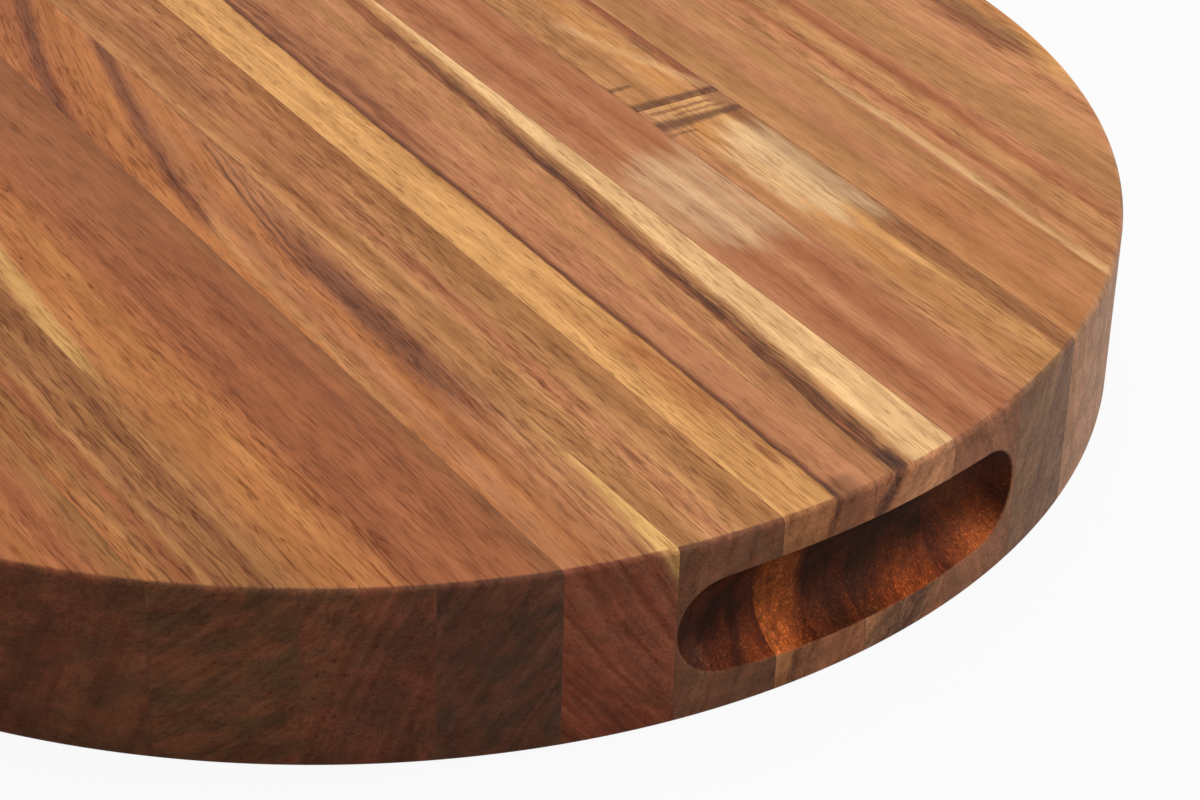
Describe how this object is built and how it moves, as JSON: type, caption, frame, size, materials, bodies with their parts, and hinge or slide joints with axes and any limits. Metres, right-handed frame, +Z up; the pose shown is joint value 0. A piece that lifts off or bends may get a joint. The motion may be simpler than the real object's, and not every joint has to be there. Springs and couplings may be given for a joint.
{
  "type": "serving board",
  "caption": "Thick round wooden serving board, glued up from parallel hardwood staves, with rounded edges and a coved finger grip in the rim at opposite ends of the grain.",
  "frame": {"origin": "middle of the flat underside, on the board's axis", "axes": "+Z up through the board's thickness, Y along the staves with the pictured finger grip towards -Y, X across the staves"},
  "size_m": [0.4, 0.4, 0.046],
  "materials": {
    "acacia_gold": "oiled, satin, pale sapwood beside red heartwood",
    "acacia_tan": "oiled, satin, tan with fine streaks",
    "acacia_orange": "oiled, satin, orange brown with dark pores",
    "acacia_red": "oiled, satin, red brown",
    "acacia_brown": "oiled, satin, streaky brown",
    "wood_glue": "cured glue film, sanded flush"
  },
  "bodies": {
    "root": {"stave_left_8": "acacia_tan", "stave_left_7": "acacia_brown", "stave_left_6": "acacia_orange", "stave_left_5": "acacia_brown", "stave_left_4": "acacia_orange", "stave_left_3": "acacia_red", "stave_left_2": "acacia_orange", "stave_left_1": "acacia_brown", "stave_right_1": "acacia_gold", "stave_right_2": "acacia_red", "stave_right_3": "acacia_red", "stave_right_4_near": "acacia_tan", "stave_right_4_far": "acacia_tan", "stave_right_5": "acacia_orange", "stave_right_6": "acacia_tan", "stave_right_7": "acacia_tan", "stave_right_8": "acacia_tan", "glue_left_7": "wood_glue", "glue_left_6": "wood_glue", "glue_left_5": "wood_glue", "glue_left_4": "wood_glue", "glue_left_3": "wood_glue", "glue_left_2": "wood_glue", "glue_left_1": "wood_glue", "glue_middle": "wood_glue", "glue_right_1": "wood_glue", "glue_right_2": "wood_glue", "glue_right_3": "wood_glue", "glue_right_4": "wood_glue", "glue_right_5": "wood_glue", "glue_right_6": "wood_glue", "glue_right_7": "wood_glue"}
  },
  "joints": []
}
